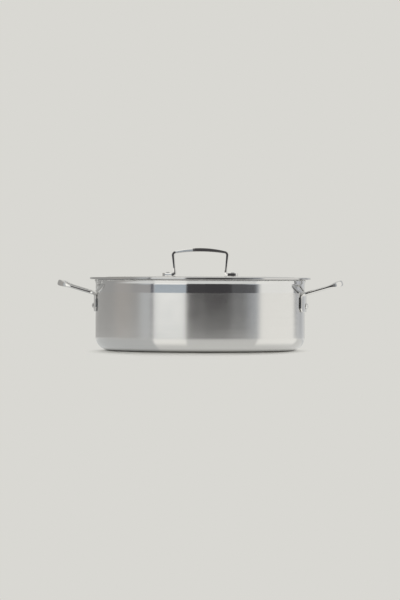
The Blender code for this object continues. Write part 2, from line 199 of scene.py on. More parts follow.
def filleted(corners: Sequence[Corner]) -> Line:
    """Turn the (x, y, radius) corners of a closed outline into points, with arcs for corners."""
    points = []
    for index, (x, y, radius) in enumerate(corners):
        corner = Vector((x, y))
        if not radius:
            points.append(corner)
            continue
        before = (Vector(corners[index - 1][:2]) - corner).normalized()
        after = (Vector(corners[(index + 1) % len(corners)][:2]) - corner).normalized()
        half_angle = before.angle(after) / 2
        reach = radius / math.tan(half_angle)
        centre = corner + (before + after).normalized() * (radius / math.sin(half_angle))
        start = corner + before * reach - centre
        end = corner + after * reach - centre
        turn = end.angle_signed(start)
        steps = arc_steps(radius, turn)
        for step in range(steps + 1):
            points.append(centre + Matrix.Rotation(turn * step / steps, 2) @ start)
    return points


def crease(blank: BMesh, marks: Iterable[float], axis: Vector) -> None:
    """Slice a blank across one axis so that it can bend at the marks."""
    for mark in marks:
        bmesh.ops.bisect_plane(
            blank,
            geom=blank.verts[:] + blank.edges[:] + blank.faces[:],
            dist=SAME_PLACE,
            plane_co=axis * mark,
            plane_no=axis,
        )


def bend(blank: BMesh, place: Callable[[float, float, float], Vector]) -> None:
    """Move every point of a creased blank from its flat place to its bent one."""
    bmesh.ops.triangulate(blank, faces=blank.faces)
    for point in blank.verts:
        point.co = place(*point.co)


@dataclass
class Blank:
    """A flat blank cut out of plate, lying in XY with its middle on z = 0, before it is bent.

    Its outline and its hole are even about y = 0. Each is a list of (x, width, corner radius).
    """

    outline: Sequence[Corner]
    hole: Sequence[Corner]
    thickness: float
    edge_radius: float
    edge_steps: int = 8

    def cut(self, line: BentLine, slice_length: float) -> BMesh:
        """Cut the blank, round its edges and slice it so that it can follow a line along X."""
        blank = bmesh.new()
        for stations in filter(None, (self.outline, self.hole)):
            side = [(x, width / 2, radius) for x, width, radius in stations]
            loop = filleted(side + [(x, -y, radius) for x, y, radius in reversed(side)])
            points = [blank.verts.new((x, y, -self.thickness / 2)) for x, y in loop]
            for pair in zip(points, points[1:] + points[:1]):
                blank.edges.new(pair)
        bmesh.ops.triangle_fill(blank, use_beauty=True, edges=blank.edges)
        raised = bmesh.ops.extrude_face_region(blank, geom=blank.faces[:], use_keep_orig=True)
        top = [item for item in raised["geom"] if isinstance(item, BMVert)]
        bmesh.ops.translate(blank, verts=top, vec=(0, 0, self.thickness))
        bmesh.ops.recalc_face_normals(blank, faces=blank.faces)
        rims = []
        for edge in blank.edges:
            if sum(abs(face.normal.z) > FLAT_NORMAL for face in edge.link_faces) == 1:
                rims.append(edge)
        bmesh.ops.bevel(
            blank,
            geom=rims,
            offset=self.edge_radius,
            offset_type="OFFSET",
            segments=self.edge_steps,
            profile=0.5,
            affect="EDGES",
            material=-1,
        )
        marks = between(0.0, line.length, slice_length) + line.bend_marks()
        crease(blank, marks, Vector((1, 0, 0)))
        return blank


def turned(profile: Sequence[Sequence[float]], segments: int) -> BMesh:
    """Spin a profile that starts and ends on the Z axis into a closed body.

    Args:
        profile: (radius, height) points, along the underside outward and back over the top.
        segments: the number of facets round the axis.

    Returns:
        The body, with its poles closed and its faces pointing out.
    """
    body = bmesh.new()
    points = [body.verts.new((radius, 0.0, height)) for radius, height in profile]
    edges = [body.edges.new(pair) for pair in zip(points, points[1:])]
    bmesh.ops.spin(
        body,
        geom=points + edges,
        axis=(0, 0, 1),
        cent=(0, 0, 0),
        angle=2 * math.pi,
        steps=segments,
        use_merge=True,
    )
    bmesh.ops.remove_doubles(body, verts=body.verts, dist=SAME_PLACE)
    bmesh.ops.recalc_face_normals(body, faces=body.faces)
    return body


def as_piece(
    name: str,
    shape: BMesh,
    finishes: Sequence["SteelFinish"],
    sharp_degrees: float = TURNED_SHARP,
) -> bpy.types.Object:
    """Turn a bmesh into a shaded object of the scene, with its place in its mesh.

    Args:
        name: the piece's name.
        shape: the bmesh, which is freed.
        finishes: what the faces' material indices stand for.
        sharp_degrees: the angle between faces past which an edge is shaded sharp.

    Returns:
        The new object.
    """
    mesh = bpy.data.meshes.new(name)
    shape.to_mesh(mesh)
    shape.free()
    mesh.shade_smooth()
    mesh.set_sharp_from_angle(angle=math.radians(sharp_degrees))
    for finish in finishes:
        mesh.materials.append(finish.material())
    piece = bpy.data.objects.new(name, mesh)
    bpy.context.scene.collection.objects.link(piece)
    return piece


def mount_piece(piece: bpy.types.Object, node: str, body: str) -> None:
    """Put a piece in the place of a CAD node, which it hides, and on its body."""
    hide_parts(node)
    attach(piece, body)
    log.info("%s stands for %s, %d faces", piece.name, node, len(piece.data.polygons))


class Value:
    """A shader socket that can be calculated with. Each operation adds a Math node."""

    def __init__(self, bench: "Bench", socket: bpy.types.NodeSocket | None) -> None:
        """Wrap an output socket of one of the bench's nodes, if the node has one."""
        self.bench = bench
        self.socket = socket

    def _math(self, operation: str, *terms: Term) -> "Value":
        """Add a Math node on the terms."""
        settings = {"operation": operation}
        return self.bench.add("ShaderNodeMath", settings, dict(enumerate(terms)))

    def __add__(self, other: Term) -> "Value":
        """Add."""
        return self._math("ADD", self, other)

    def __radd__(self, other: float) -> "Value":
        """Add, with a number first."""
        return self._math("ADD", other, self)

    def __sub__(self, other: Term) -> "Value":
        """Subtract."""
        return self._math("SUBTRACT", self, other)

    def __rsub__(self, other: float) -> "Value":
        """Subtract from a number."""
        return self._math("SUBTRACT", other, self)

    def __mul__(self, other: Term) -> "Value":
        """Multiply."""
        return self._math("MULTIPLY", self, other)

    def __rmul__(self, other: float) -> "Value":
        """Multiply, with a number first."""
        return self._math("MULTIPLY", other, self)

    def __abs__(self) -> "Value":
        """Drop the sign."""
        return self._math("ABSOLUTE", self)

    def root(self) -> "Value":
        """Take the square root."""
        return self._math("SQRT", self)

    def angle_over(self, other: "Value") -> "Value":
        """Return the angle of this height over the other value's reach, in degrees."""
        return self._math("ARCTAN2", self, other) * math.degrees(1.0)

    def rising(self, low: float, high: float) -> "Value":
        """Rise smoothly from 0 where the value is low to 1 where it is high."""
        settings = {"interpolation_type": "SMOOTHSTEP"}
        sockets = {"Value": self, "From Min": low, "From Max": high}
        return self.bench.add("ShaderNodeMapRange", settings, sockets)

    def rising_near(self, middle: float, edge: float) -> "Value":
        """Rise smoothly from 0 to 1 over an edge on either side of the middle."""
        return self.rising(middle - edge, middle + edge)

    def within(self, low: float, high: float, edge: float) -> "Value":
        """Return 1 between low and high and 0 outside, with soft edges."""
        return self.rising_near(low, edge) * (1 - self.rising_near(high, edge))


class Bench:
    """A place where one node tree is put together."""

    def __init__(self, owner: bpy.types.Material | bpy.types.World) -> None:
        """Clear the node tree of a material or a world and work on it."""
        owner.use_nodes = True
        self.tree = owner.node_tree
        self.tree.nodes.clear()

    def add(
        self,
        kind: str,
        settings: dict[str, Any] | None = None,
        sockets: dict[str | int, Any] | None = None,
        output: str | int = 0,
    ) -> Value:
        """Add a node.

        Args:
            kind: the node's type.
            settings: its properties, which are set first.
            sockets: the values or links of its inputs, by name or number. A tuple is a colour.
            output: the output to hand back, by name or number.

        Returns:
            The chosen output socket, wrapped.
        """
        node = self.tree.nodes.new(kind)
        for name, value in (settings or {}).items():
            setattr(node, name, value)
        for name, value in (sockets or {}).items():
            if isinstance(value, Value):
                self.tree.links.new(value.socket, node.inputs[name])
            elif isinstance(value, tuple):
                node.inputs[name].default_value = (*value, 1.0)
            else:
                node.inputs[name].default_value = value
        return Value(self, node.outputs[output] if node.outputs else None)

    def split(self, vector: Value) -> tuple[Value, Value, Value]:
        """Return the X, Y and Z of a vector."""
        node = self.add("ShaderNodeSeparateXYZ", {}, {"Vector": vector}).socket.node
        return tuple(Value(self, socket) for socket in node.outputs)

    def join(self, x: Term, y: Term, z: Term) -> Value:
        """Put three numbers together into a vector."""
        return self.add("ShaderNodeCombineXYZ", {}, {"X": x, "Y": y, "Z": z})

    def place(self) -> tuple[Value, Value, Value]:
        """Return the X, Y and Z of the surface point on its object."""
        return self.split(self.add("ShaderNodeTexCoord", output="Object"))

    def noise(self, where: Value, scale: float, detail: float = 2.0) -> Value:
        """Return noise between 0 and 1."""
        sockets = {"Vector": where, "Scale": scale, "Detail": detail}
        return self.add("ShaderNodeTexNoise", {}, sockets, "Fac")

    def blend(self, share: Value, low: Value | Colour, high: Value | Colour) -> Value:
        """Mix two colours by a share from 0 to 1."""
        settings = {"data_type": "RGBA"}
        # The node has inputs of the same name for each type, so those for colours go by number.
        return self.add("ShaderNodeMix", settings, {0: share, 6: low, 7: high}, 2)

    def mix(self, share: Value, low: Value, high: Value) -> Value:
        """Mix two shaders by a share from 0 to 1."""
        return self.add("ShaderNodeMixShader", {}, {0: share, 1: low, 2: high})

    def ray(self, kind: str) -> Value:
        """Return 1 for rays of a kind and 0 for others."""
        return self.add("ShaderNodeLightPath", output=f"Is {kind} Ray")

    def bump(self, height: Value, depth: float, under: Value | None = None) -> Value:
        """Return a normal that follows a height between 0 and 1 times a depth in metres."""
        sockets = {"Height": height, "Distance": depth}
        if under:
            sockets["Normal"] = under
        return self.add("ShaderNodeBump", {}, sockets)


@dataclass(frozen=True)
class SteelFinish:
    """Bare stainless steel with tool marks.

    line_pitch and line_depth are the spacing and height of the tool marks, wave_length and
    wave_depth those of the unevenness under the polish. The tone runs from darkest to lightest,
    as shares of the colour, line_share of it by the tool marks. smudge is the largest change of
    the roughness, as a share of it, and stretch_turn the turn that stretches a highlight across
    the tool marks.
    """

    name: str
    colour: Colour
    roughness: float
    grain: Grain = Grain.TURNED
    anisotropy: float = 0.0
    line_pitch: float = 0.0004
    line_length: float = 0.1500
    line_depth: float = 0.000001
    wave_length: float = 0.0200
    wave_depth: float = 0.0
    wave_detail: float = 3.0
    darkest: float = 0.94
    lightest: float = 1.03
    line_share: float = 0.6
    smudge: float = 0.30
    stretch_turn: float = 0.25

    def lines(self, bench: Bench) -> Value:
        """Return the height of the tool marks, between 0 and 1."""
        x, y, z = bench.place()
        along = 1 / self.line_length
        across = 1 / self.line_pitch
        if self.grain is Grain.TURNED:
            section = ((x * x + y * y).root() + z) * across
            where = bench.join(x * along, y * along, section)
        elif self.grain is Grain.LENGTHWISE:
            where = bench.join((x + z) * along, y * across, z * along)
        else:
            where = bench.join(x * across, y * across, z * across)
        return bench.noise(where, 1.0)

    def extra_colour(self, bench: Bench, colour: Value) -> Value:
        """Return the colour with what else this finish shows."""
        return colour

    @cache
    def material(self) -> bpy.types.Material:
        """Make the finish's material, once."""
        material = bpy.data.materials.new(self.name)
        bench = Bench(material)
        lines = self.lines(bench)
        where = bench.add("ShaderNodeTexCoord", output="Object")
        uneven = bench.noise(where, 1 / self.wave_length, self.wave_detail)
        darker = tuple(channel * self.darkest for channel in self.colour)
        lighter = tuple(channel * self.lightest for channel in self.colour)
        tone = lines * self.line_share + uneven * (1 - self.line_share)
        colour = bench.blend(tone, darker, lighter)
        rough = self.roughness * (1 + (lines + uneven - 1) * self.smudge)
        normal = bench.bump(uneven, self.wave_depth)
        normal = bench.bump(lines, self.line_depth, normal)
        sockets = {
            "Base Color": self.extra_colour(bench, colour),
            "Metallic": 1.0,
            "Roughness": rough,
            "Normal": normal,
            "Anisotropic": self.anisotropy,
            "Anisotropic Rotation": self.stretch_turn,
        }
        shader = bench.add("ShaderNodeBsdfPrincipled", {}, sockets)
        bench.add("ShaderNodeOutputMaterial", {}, {"Surface": shader})
        return material


@dataclass(frozen=True)
class CutEdgeFinish(SteelFinish):
    """Ground steel whose rim shows the aluminium core of the clad sheet."""

    rim_height: float = 0.0
    rim_radius: float = 0.0
    core: float = 0.0012
    core_edge: float = 0.0001
    core_colour: Colour = (0.78, 0.79, 0.80)

    def extra_colour(self, bench: Bench, colour: Value) -> Value:
        """Draw the core as a pale ring on top of the rim."""
        x, y, z = bench.place()
        radius = (x * x + y * y).root()
        half = self.core / 2
        ring = radius.within(self.rim_radius - half, self.rim_radius + half, self.core_edge)
        on_top = z.rising(self.rim_height - half, self.rim_height - half / 2)
        return bench.blend(ring * on_top, colour, self.core_colour)


BRUSHED_STEEL = SteelFinish(
    "brushed_wall_steel",
    colour=(0.635, 0.630, 0.622),
    roughness=0.228,
    anisotropy=0.81,
    line_pitch=0.0006,
    line_length=0.1200,
    line_depth=0.000003,
)
BAND_STEEL = SteelFinish("polished_band_steel", (0.635, 0.635, 0.635), 0.09, anisotropy=0.3)
SATIN_STEEL = SteelFinish(
    "satin_inside_steel",
    colour=(0.640, 0.635, 0.625),
    roughness=0.26,
    anisotropy=0.7,
    line_pitch=0.0007,
    line_length=0.2000,
    line_depth=0.000010,
)
LID_STEEL = SteelFinish(
    "turned_lid_steel",
    colour=(0.690, 0.688, 0.682),
    roughness=0.17,
    anisotropy=0.5,
    line_pitch=0.0005,
    line_depth=0.000004,
    wave_length=0.0600,
    wave_depth=0.000020,
)
# The hemmed edge is smoother than the lid, and its colour is darkened as painted shade for the
# edge's dark line.
HEM_PAINTED_SHADE_STEEL = SteelFinish(
    "hemmed_edge_painted_shade_steel", (0.535, 0.531, 0.528), 0.09, anisotropy=0.5, line_pitch=0.0003
)
LOOP_STEEL = SteelFinish(
    "polished_cast_steel",
    colour=(0.655, 0.650, 0.640),
    roughness=0.07,
    grain=Grain.TUMBLED,
    line_pitch=0.0030,
    line_depth=0.000002,
    wave_length=0.0160,
    wave_depth=0.000010,
)
STRAP_STEEL = SteelFinish(
    "polished_strap_steel",
    colour=(0.640, 0.630, 0.622),
    roughness=0.062,
    grain=Grain.LENGTHWISE,
    anisotropy=0.2,
    line_pitch=0.0005,
    line_length=0.0300,
    line_depth=0.000003,
    wave_length=0.0140,
    wave_depth=0.000020,
)
RIVET_STEEL = SteelFinish(
    "polished_rivet_steel",
    colour=(0.655, 0.655, 0.650),
    roughness=0.16,
    grain=Grain.TUMBLED,
    line_pitch=0.0016,
    line_depth=0.000014,
    wave_length=0.0040,
    wave_depth=0.000030,
)


@dataclass
class PanShell:
    """The pan itself: one clad sheet drawn to a flat base, a straight wall and a flared lip."""

    wall: float = 0.0025
    wall_radius: float = 0.1425
    corner_radius: float = 0.0195
    lip_height: float = 0.0054
    lip_reach: float = 0.0013
    lip_bend_radius: float = 0.0060
    band_bottom: float = 0.0790
    lip_crease: float = 0.0002
    segments: int = 256

    @property
    def height(self) -> float:
        """Return the rim's height, from the frame."""
        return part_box("pan_body")[1][2]

    @property
    def middle_radius(self) -> float:
        """Return the radius of the middle of the sheet in the wall."""
        return self.wall_radius - self.wall / 2

    @property
    def inner_radius(self) -> float:
        """Return the radius of the wall's inside."""
        return self.wall_radius - self.wall

    def finishes(self) -> list[SteelFinish]:
        """Return the finishes of the zones, in their order."""
        rim = CutEdgeFinish(
            "ground_rim_steel",
            colour=(0.800, 0.800, 0.795),
            roughness=0.75,
            line_pitch=0.0003,
            rim_height=self.height,
            rim_radius=self.middle_radius + self.lip_reach,
        )
        return [BRUSHED_STEEL, BAND_STEEL, SATIN_STEEL, rim]

    def build(self) -> None:
        """Spin the sheet's section and give each zone its finish."""
        half = self.wall / 2
        line = BentLine(
            [
                (0.0, half, 0.0),
                (self.middle_radius, half, self.corner_radius - half),
                (self.middle_radius, self.height - self.lip_height, self.lip_bend_radius),
                (self.middle_radius + self.lip_reach, self.height - half, 0.0),
            ]
        )
        wall_start, lip_start = line.start_of(2), line.start_of(3)
        band_mark = wall_start + self.band_bottom - self.corner_radius
        # A mark just under the lip's bend keeps the bend's shading off the straight wall.
        marks = sorted(line.marks() + [band_mark, lip_start - self.lip_crease])
        outside = []
        inside = []
        for mark in marks:
            point, left = line.at(mark)
            outside.append(point - left * half)
            inside.append(point + left * half)
        rim_centre, left = line.at(line.length)
        steps = arc_steps(half, math.pi)
        rim = []
        for step in range(1, steps):
            turn = Matrix.Rotation(math.pi * step / steps, 2)
            rim.append(rim_centre - turn @ left * half)
        shape = turned(outside + rim + inside[::-1], self.segments)
        self.zone(shape)
        piece = as_piece("pan_shell", shape, self.finishes())
        mount_piece(piece, "pan_body", "pan")

    def zone(self, shape: BMesh) -> None:
        """Sort the faces into the zones."""
        half = self.wall / 2
        rim_start = self.height - half
        for face in shape.faces:
            centre = face.calc_center_median()
            outer = centre.xy.length > self.middle_radius or centre.z < half
            outward = face.normal.xy.dot(centre.xy) > 0 or face.normal.z < 0
            if centre.z > rim_start:
                zone = Zone.RIM
            elif outward and centre.z > self.band_bottom:
                zone = Zone.BAND
            else:
                zone = Zone.OUTSIDE if outer or outward else Zone.INSIDE
            face.material_index = zone.value


@dataclass(frozen=True)
class Rivet:
    """A rivet with a domed head above its seat and a flat tail under its grip."""

    shank_radius: float
    head_radius: float
    head_height: float
    tail_radius: float
    tail_height: float
    segments: int = 48
    dome_steps: int = 10
    head_edge: float = 0.0002
    corner_share: float = 0.3

    def build(self, name: str, node: str, body: str, grip: float, placing: Matrix) -> None:
        """Turn the rivet and put it in place.

        Args:
            name: the rivet's name.
            node: the CAD node that it stands for.
            body: the body that it rides on.
            grip: the distance from the head's seat to the tail's.
            placing: takes the seat to its place, with the rivet's own Z pointing out.
        """
        dome_radius = (self.head_radius**2 + self.head_height**2) / (2 * self.head_height)
        dome_angle = math.asin(self.head_radius / dome_radius)
        centre = SEAT_GAP + self.head_height - dome_radius
        profile = []
        for step in range(self.dome_steps + 1):
            angle = dome_angle * step / self.dome_steps
            height = max(centre + dome_radius * math.cos(angle), SEAT_GAP + self.head_edge)
            profile.append((dome_radius * math.sin(angle), height))
        edge = self.tail_height / 2
        corner = edge * self.corner_share
        profile += [
            (self.head_radius, SEAT_GAP),
            (self.shank_radius, SEAT_GAP),
            (self.shank_radius, -grip),
            (self.tail_radius, -grip),
            (self.tail_radius, -grip - edge),
            (self.tail_radius - corner, -grip - self.tail_height + corner),
            (self.tail_radius - edge, -grip - self.tail_height),
            (0.0, -grip - self.tail_height),
        ]
        shape = turned(profile, self.segments)
        bmesh.ops.transform(shape, matrix=placing, verts=shape.verts)
        piece = as_piece(name, shape, [RIVET_STEEL])
        mount_piece(piece, node, body)


@dataclass
class LoopHandles:
    """The two cast loop handles, each a plate on the wall bent outward into a loop."""

    pan: PanShell
    plate_thickness: float = 0.0023
    plate_width: float = 0.0790
    plate_corner_radius: float = 0.0060
    bend_height: float = 0.0769
    bend_radius: float = 0.0045
    rise_degrees: float = 17.6
    reach: float = 0.0516
    root_width: float = 0.0590
    tip_width: float = 0.0570
    corner_radius: float = 0.0210
    root_web: float = 0.0040
    arm_width: float = 0.0085
    arm_thickness: float = 0.0042
    arm_edge_radius: float = 0.0016
    grip_width: float = 0.0075
    grip_thickness: float = 0.0078
    swell_length: float = 0.0110
    hole_root_radius: float = 0.0070
    rivet_spacing: float = 0.0260
    rivet_height: float = 0.0606
    slice_length: float = 0.0016
    slice_width: float = 0.0040
    rivet: Rivet = Rivet(
        shank_radius=0.0025,
        head_radius=0.0042,
        head_height=0.0020,
        tail_radius=0.0048,
        tail_height=0.0012,
    )

    @property
    def plate_radius(self) -> float:
        """Return the radius of the plate's middle."""
        return self.pan.wall_radius + SEAT_GAP + self.plate_thickness / 2

    def shape(self) -> BMesh:
        """Cut, crease and bend the right-hand handle."""
        plate_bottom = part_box("side_handle_right")[0][2]
        tip_radius = self.pan.wall_radius + self.reach
        slope = math.tan(math.radians(self.rise_degrees))
        tip_height = self.bend_height + (tip_radius - self.plate_radius) * slope
        line = BentLine(
            [
                (self.plate_radius, plate_bottom, 0.0),
                (self.plate_radius, self.bend_height, self.bend_radius),
                (tip_radius, tip_height, 0.0),
            ]
        )
        bend_start = line.start_of(1)
        root = line.start_of(2)
        hole_tip = line.length - self.grip_width
        swell_start = hole_tip - self.swell_length
        outline = [
            (0.0, self.plate_width, self.plate_corner_radius),
            (bend_start, self.plate_width, self.plate_corner_radius),
            (root, self.root_width, self.plate_corner_radius),
            (line.length, self.tip_width, self.corner_radius),
        ]
        arms = self.arm_width * 2
        hole = [
            (root + self.root_web, self.root_width - arms, self.hole_root_radius),
            (hole_tip, self.tip_width - arms, self.corner_radius - self.arm_width),
        ]
        cutter = Blank(outline, hole, self.arm_thickness, self.arm_edge_radius)
        blank = cutter.cut(line, self.slice_length)
        half_plate = self.plate_width / 2
        crease(blank, between(-half_plate, half_plate, self.slice_width), Vector((0, 1, 0)))

        def place(along: float, across: float, depth: float) -> Vector:
            """Return the bent place of a point of the flat blank."""
            thickness = changing(
                self.plate_thickness,
                (self.arm_thickness, rise(bend_start, root, along)),
                (self.grip_thickness, rise(swell_start, hole_tip, along)),
            )
            point, left = line.at(along)
            radius, height = point + left * (depth * thickness / self.arm_thickness)
            angle = across / self.plate_radius
            sag = self.plate_radius * (1 - math.cos(angle))
            hugging = Vector((radius - sag, self.plate_radius * math.sin(angle), height))
            straight = Vector((radius, across, height))
            return hugging.lerp(straight, rise(bend_start, hole_tip, along))

        bend(blank, place)
        return blank

    def build(self) -> None:
        """Make both handles and their rivets."""
        face_radius = self.plate_radius + self.plate_thickness / 2
        tail_sag = self.pan.inner_radius - math.hypot(self.pan.inner_radius, self.rivet.tail_radius)
        grip = face_radius - self.pan.inner_radius - tail_sag + SEAT_GAP
        outward = Matrix.Translation((face_radius, 0, self.rivet_height))
        outward @= Matrix.Rotation(math.pi / 2, 4, "Y")
        rivet_angle = self.rivet_spacing / 2 / self.plate_radius
        for side in Side:
            word = side.name.lower()
            facing = Matrix.Rotation(math.pi if side is Side.LEFT else 0.0, 4, "Z")
            shape = self.shape()
            bmesh.ops.transform(shape, matrix=facing, verts=shape.verts)
            handle = as_piece(f"loop_handle_{word}", shape, [LOOP_STEEL], CAST_SHARP)
            mount_piece(handle, f"side_handle_{word}", "pan")
            for row in Row:
                turn = Matrix.Rotation(side.value * row.value * rivet_angle, 4, "Z")
                end = f"rivet_{word}_{row.name.lower()}"
                placing = facing @ turn @ outward
                self.rivet.build(f"loop_{end}", f"handle_{end}", "pan", grip, placing)


@dataclass
class Lid:
    """The flat lid: raised panel, locating ring inside the rim, thick flange over it."""

    pan: PanShell
    sheet: float = 0.0012
    edge_radius: float = 0.0006
    ring_clearance: float = 0.0013
    ring_depth: float = 0.0050
    ring_width: float = 0.0100
    bend_radius: float = 0.0014
    flange_thickness: float = 0.0028
    panel_rise: float = 0.0017
    panel_flat_radius: float = 0.0620
    panel_fall: float = 0.0010
    panel_blend_radius: float = 0.5000
    segments: int = 256

    @property
    def flange_bottom(self) -> float:
        """Return the height of the flange's underside."""
        return self.pan.height + SEAT_GAP

    @property
    def panel_top(self) -> float:
        """Return the height of the raised panel."""
        return self.flange_bottom + self.flange_thickness + self.panel_rise

    def build(self) -> None:
        """Spin the lid's section and give its hemmed edge a smoother finish of its own, whose
        colour is darkened as painted shade.
        """
        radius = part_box("lid")[1][0]
        flange_top = self.flange_bottom + self.flange_thickness
        ring_outside = self.pan.inner_radius - self.ring_clearance
        ring_inside = ring_outside - self.ring_width
        ring_bottom = self.flange_bottom - self.ring_depth
        panel_edge = self.panel_top - self.panel_fall
        trough_outside = ring_outside - self.sheet
        trough_inside = ring_inside + self.sheet
        trough_bottom = ring_bottom + self.sheet
        wide = self.bend_radius + self.sheet
        underside = [
            (0.0, self.panel_top - self.sheet, 0.0),
            (self.panel_flat_radius, self.panel_top - self.sheet, self.panel_blend_radius),
            (ring_inside, panel_edge - self.sheet, self.bend_radius),
            (ring_inside, ring_bottom, wide),
            (ring_outside, ring_bottom, wide),
            (ring_outside, self.flange_bottom, self.edge_radius),
            (radius, self.flange_bottom, self.edge_radius),
        ]
        top_side = [
            (radius, flange_top, self.edge_radius),
            (trough_outside, flange_top, self.bend_radius),
            (trough_outside, trough_bottom, self.bend_radius),
            (trough_inside, trough_bottom, self.bend_radius),
            (trough_inside, panel_edge, wide),
            (self.panel_flat_radius, self.panel_top, self.panel_blend_radius),
            (0.0, self.panel_top, 0.0),
        ]
        line = BentLine(underside + top_side)
        shape = turned([line.at(mark)[0] for mark in line.marks()], self.segments)
        finishes = [LID_STEEL, HEM_PAINTED_SHADE_STEEL]
        # The outer edge's faces take the smoother finish with painted shade.
        for face in shape.faces:
            if face.calc_center_median().xy.length > radius - self.edge_radius:
                face.material_index = finishes.index(HEM_PAINTED_SHADE_STEEL)
        piece = as_piece("lid_plate", shape, finishes)
        mount_piece(piece, "lid", "lid")


@dataclass
class LidHandle:
    """The cast strap handle of the lid: two riveted feet, two leaning legs and a thick arch."""

    lid: Lid
    foot_thickness: float = 0.0039
    leg_thickness: float = 0.0022
    shoulder_thickness: float = 0.0031
    crown_thickness: float = 0.0047
    edge_radius: float = 0.0002
    edge_steps: int = 5
    top_width: float = 0.0210
    top_blend_radius: float = 0.1500
    leg_width: float = 0.0166
    leg_span: float = 0.0690
    leg_lean_degrees: float = 5.5
    shoulder_slope_degrees: float = 10.8
    shoulder_radius: float = 0.0040
    arch_radius: float = 0.1760
    foot_bend_radius: float = 0.0032
    foot_span: float = 0.1028
    foot_width: float = 0.0240
    foot_end_width: float = 0.0170
    foot_corner_radius: float = 0.0060
    neck_length: float = 0.0050
    rivet_spacing: float = 0.0110
    rivet_end_margin: float = 0.0069
    slice_length: float = 0.0016
    rivet: Rivet = Rivet(
        shank_radius=0.0019,
        head_radius=0.0030,
        head_height=0.0012,
        tail_radius=0.0034,
        tail_height=0.0010,
    )

    @property
    def foot_bottom(self) -> float:
        """Return the height of the feet's underside."""
        return self.lid.panel_top + SEAT_GAP

    def line(self) -> BentLine:
        """Return the middle line of the strap, from the end of one foot to the other's."""
        foot = self.foot_bottom + self.foot_thickness / 2
        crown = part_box("lid_handle")[1][2] - self.crown_thickness / 2
        slope_angle = math.radians(self.shoulder_slope_degrees)
        peak = crown + self.arch_radius * (1 / math.cos(slope_angle) - 1)
        lean = math.tan(math.radians(self.leg_lean_degrees))
        slope = math.tan(slope_angle)
        shoulder_x = (self.leg_span / 2 + (peak - foot) * lean) / (1 + slope * lean)
        half = [
            (self.foot_span / 2, foot, 0.0),
            (self.leg_span / 2, foot, self.foot_bend_radius),
            (shoulder_x, peak - shoulder_x * slope, self.shoulder_radius),
        ]
        mirrored = [(-x, height, radius) for x, height, radius in half]
        return BentLine(mirrored + [(0.0, peak, self.arch_radius)] + half[::-1])

    def shape(self) -> BMesh:
        """Cut, crease and bend the strap."""
        line = self.line()
        middle = line.length / 2
        foot_end = line.start_of(1)
        neck_end = line.start_of(2) + self.neck_length
        leg_end = line.start_of(4)
        half = [
            (0.0, self.foot_end_width, self.foot_corner_radius),
            (foot_end, self.foot_width, self.foot_bend_radius),
            (neck_end, self.leg_width, self.foot_bend_radius),
            (leg_end, self.leg_width, 0.0),
        ]
        other = [(line.length - x, width, radius) for x, width, radius in reversed(half)]
        top = [(middle, self.top_width, self.top_blend_radius)]
        outline = half + top + other
        cutter = Blank(outline, [], self.leg_thickness, self.edge_radius, self.edge_steps)
        blank = cutter.cut(line, self.slice_length)

        def place(along: float, across: float, depth: float) -> Vector:
            """Return the bent place of a point of the flat blank."""
            run = min(along, line.length - along)
            share = min((middle - run) / (middle - leg_end), 1.0)
            thickness = changing(
                self.foot_thickness,
                (self.leg_thickness, rise(foot_end, neck_end, run)),
                (self.shoulder_thickness, rise(neck_end, leg_end, run)),
                (self.crown_thickness, 1 - share * share),
            )
            point, left = line.at(along)
            x, height = point + left * (depth * thickness / self.leg_thickness)
            return Vector((x, across, height))

        bend(blank, place)
        return blank

    def build(self) -> None:
        """Make the strap and its rivets."""
        strap = as_piece("lid_strap", self.shape(), [STRAP_STEEL], CAST_SHARP)
        mount_piece(strap, "lid_handle", "lid")
        foot_top = self.foot_bottom + self.foot_thickness
        grip = self.foot_thickness + SEAT_GAP + self.lid.sheet + SEAT_GAP
        reach = self.foot_span / 2 - self.rivet_end_margin
        for side in Side:
            for row in Row:
                end = f"rivet_{side.name.lower()}_{row.name.lower()}"
                y = row.value * self.rivet_spacing / 2
                placing = Matrix.Translation((side.value * reach, y, foot_top))
                self.rivet.build(f"strap_{end}", f"lid_{end}", "lid", grip, placing)


@dataclass(frozen=True)
class Card:
    """A card or flag of the studio: a patch of the surroundings that the steel mirrors.

    Angles are in degrees. Bearings are taken round Z, from the front towards the right.
    """

    name: str
    bearing_from: float
    bearing_to: float
    colour: Colour
    edge: float
    height_from: float = -95.0
    height_to: float = 95.0
    height_edge: float = 0.8
    # Whether a painted pool of light on the table, seen only by the steel, follows this card.
    paints_table_pool: bool = False


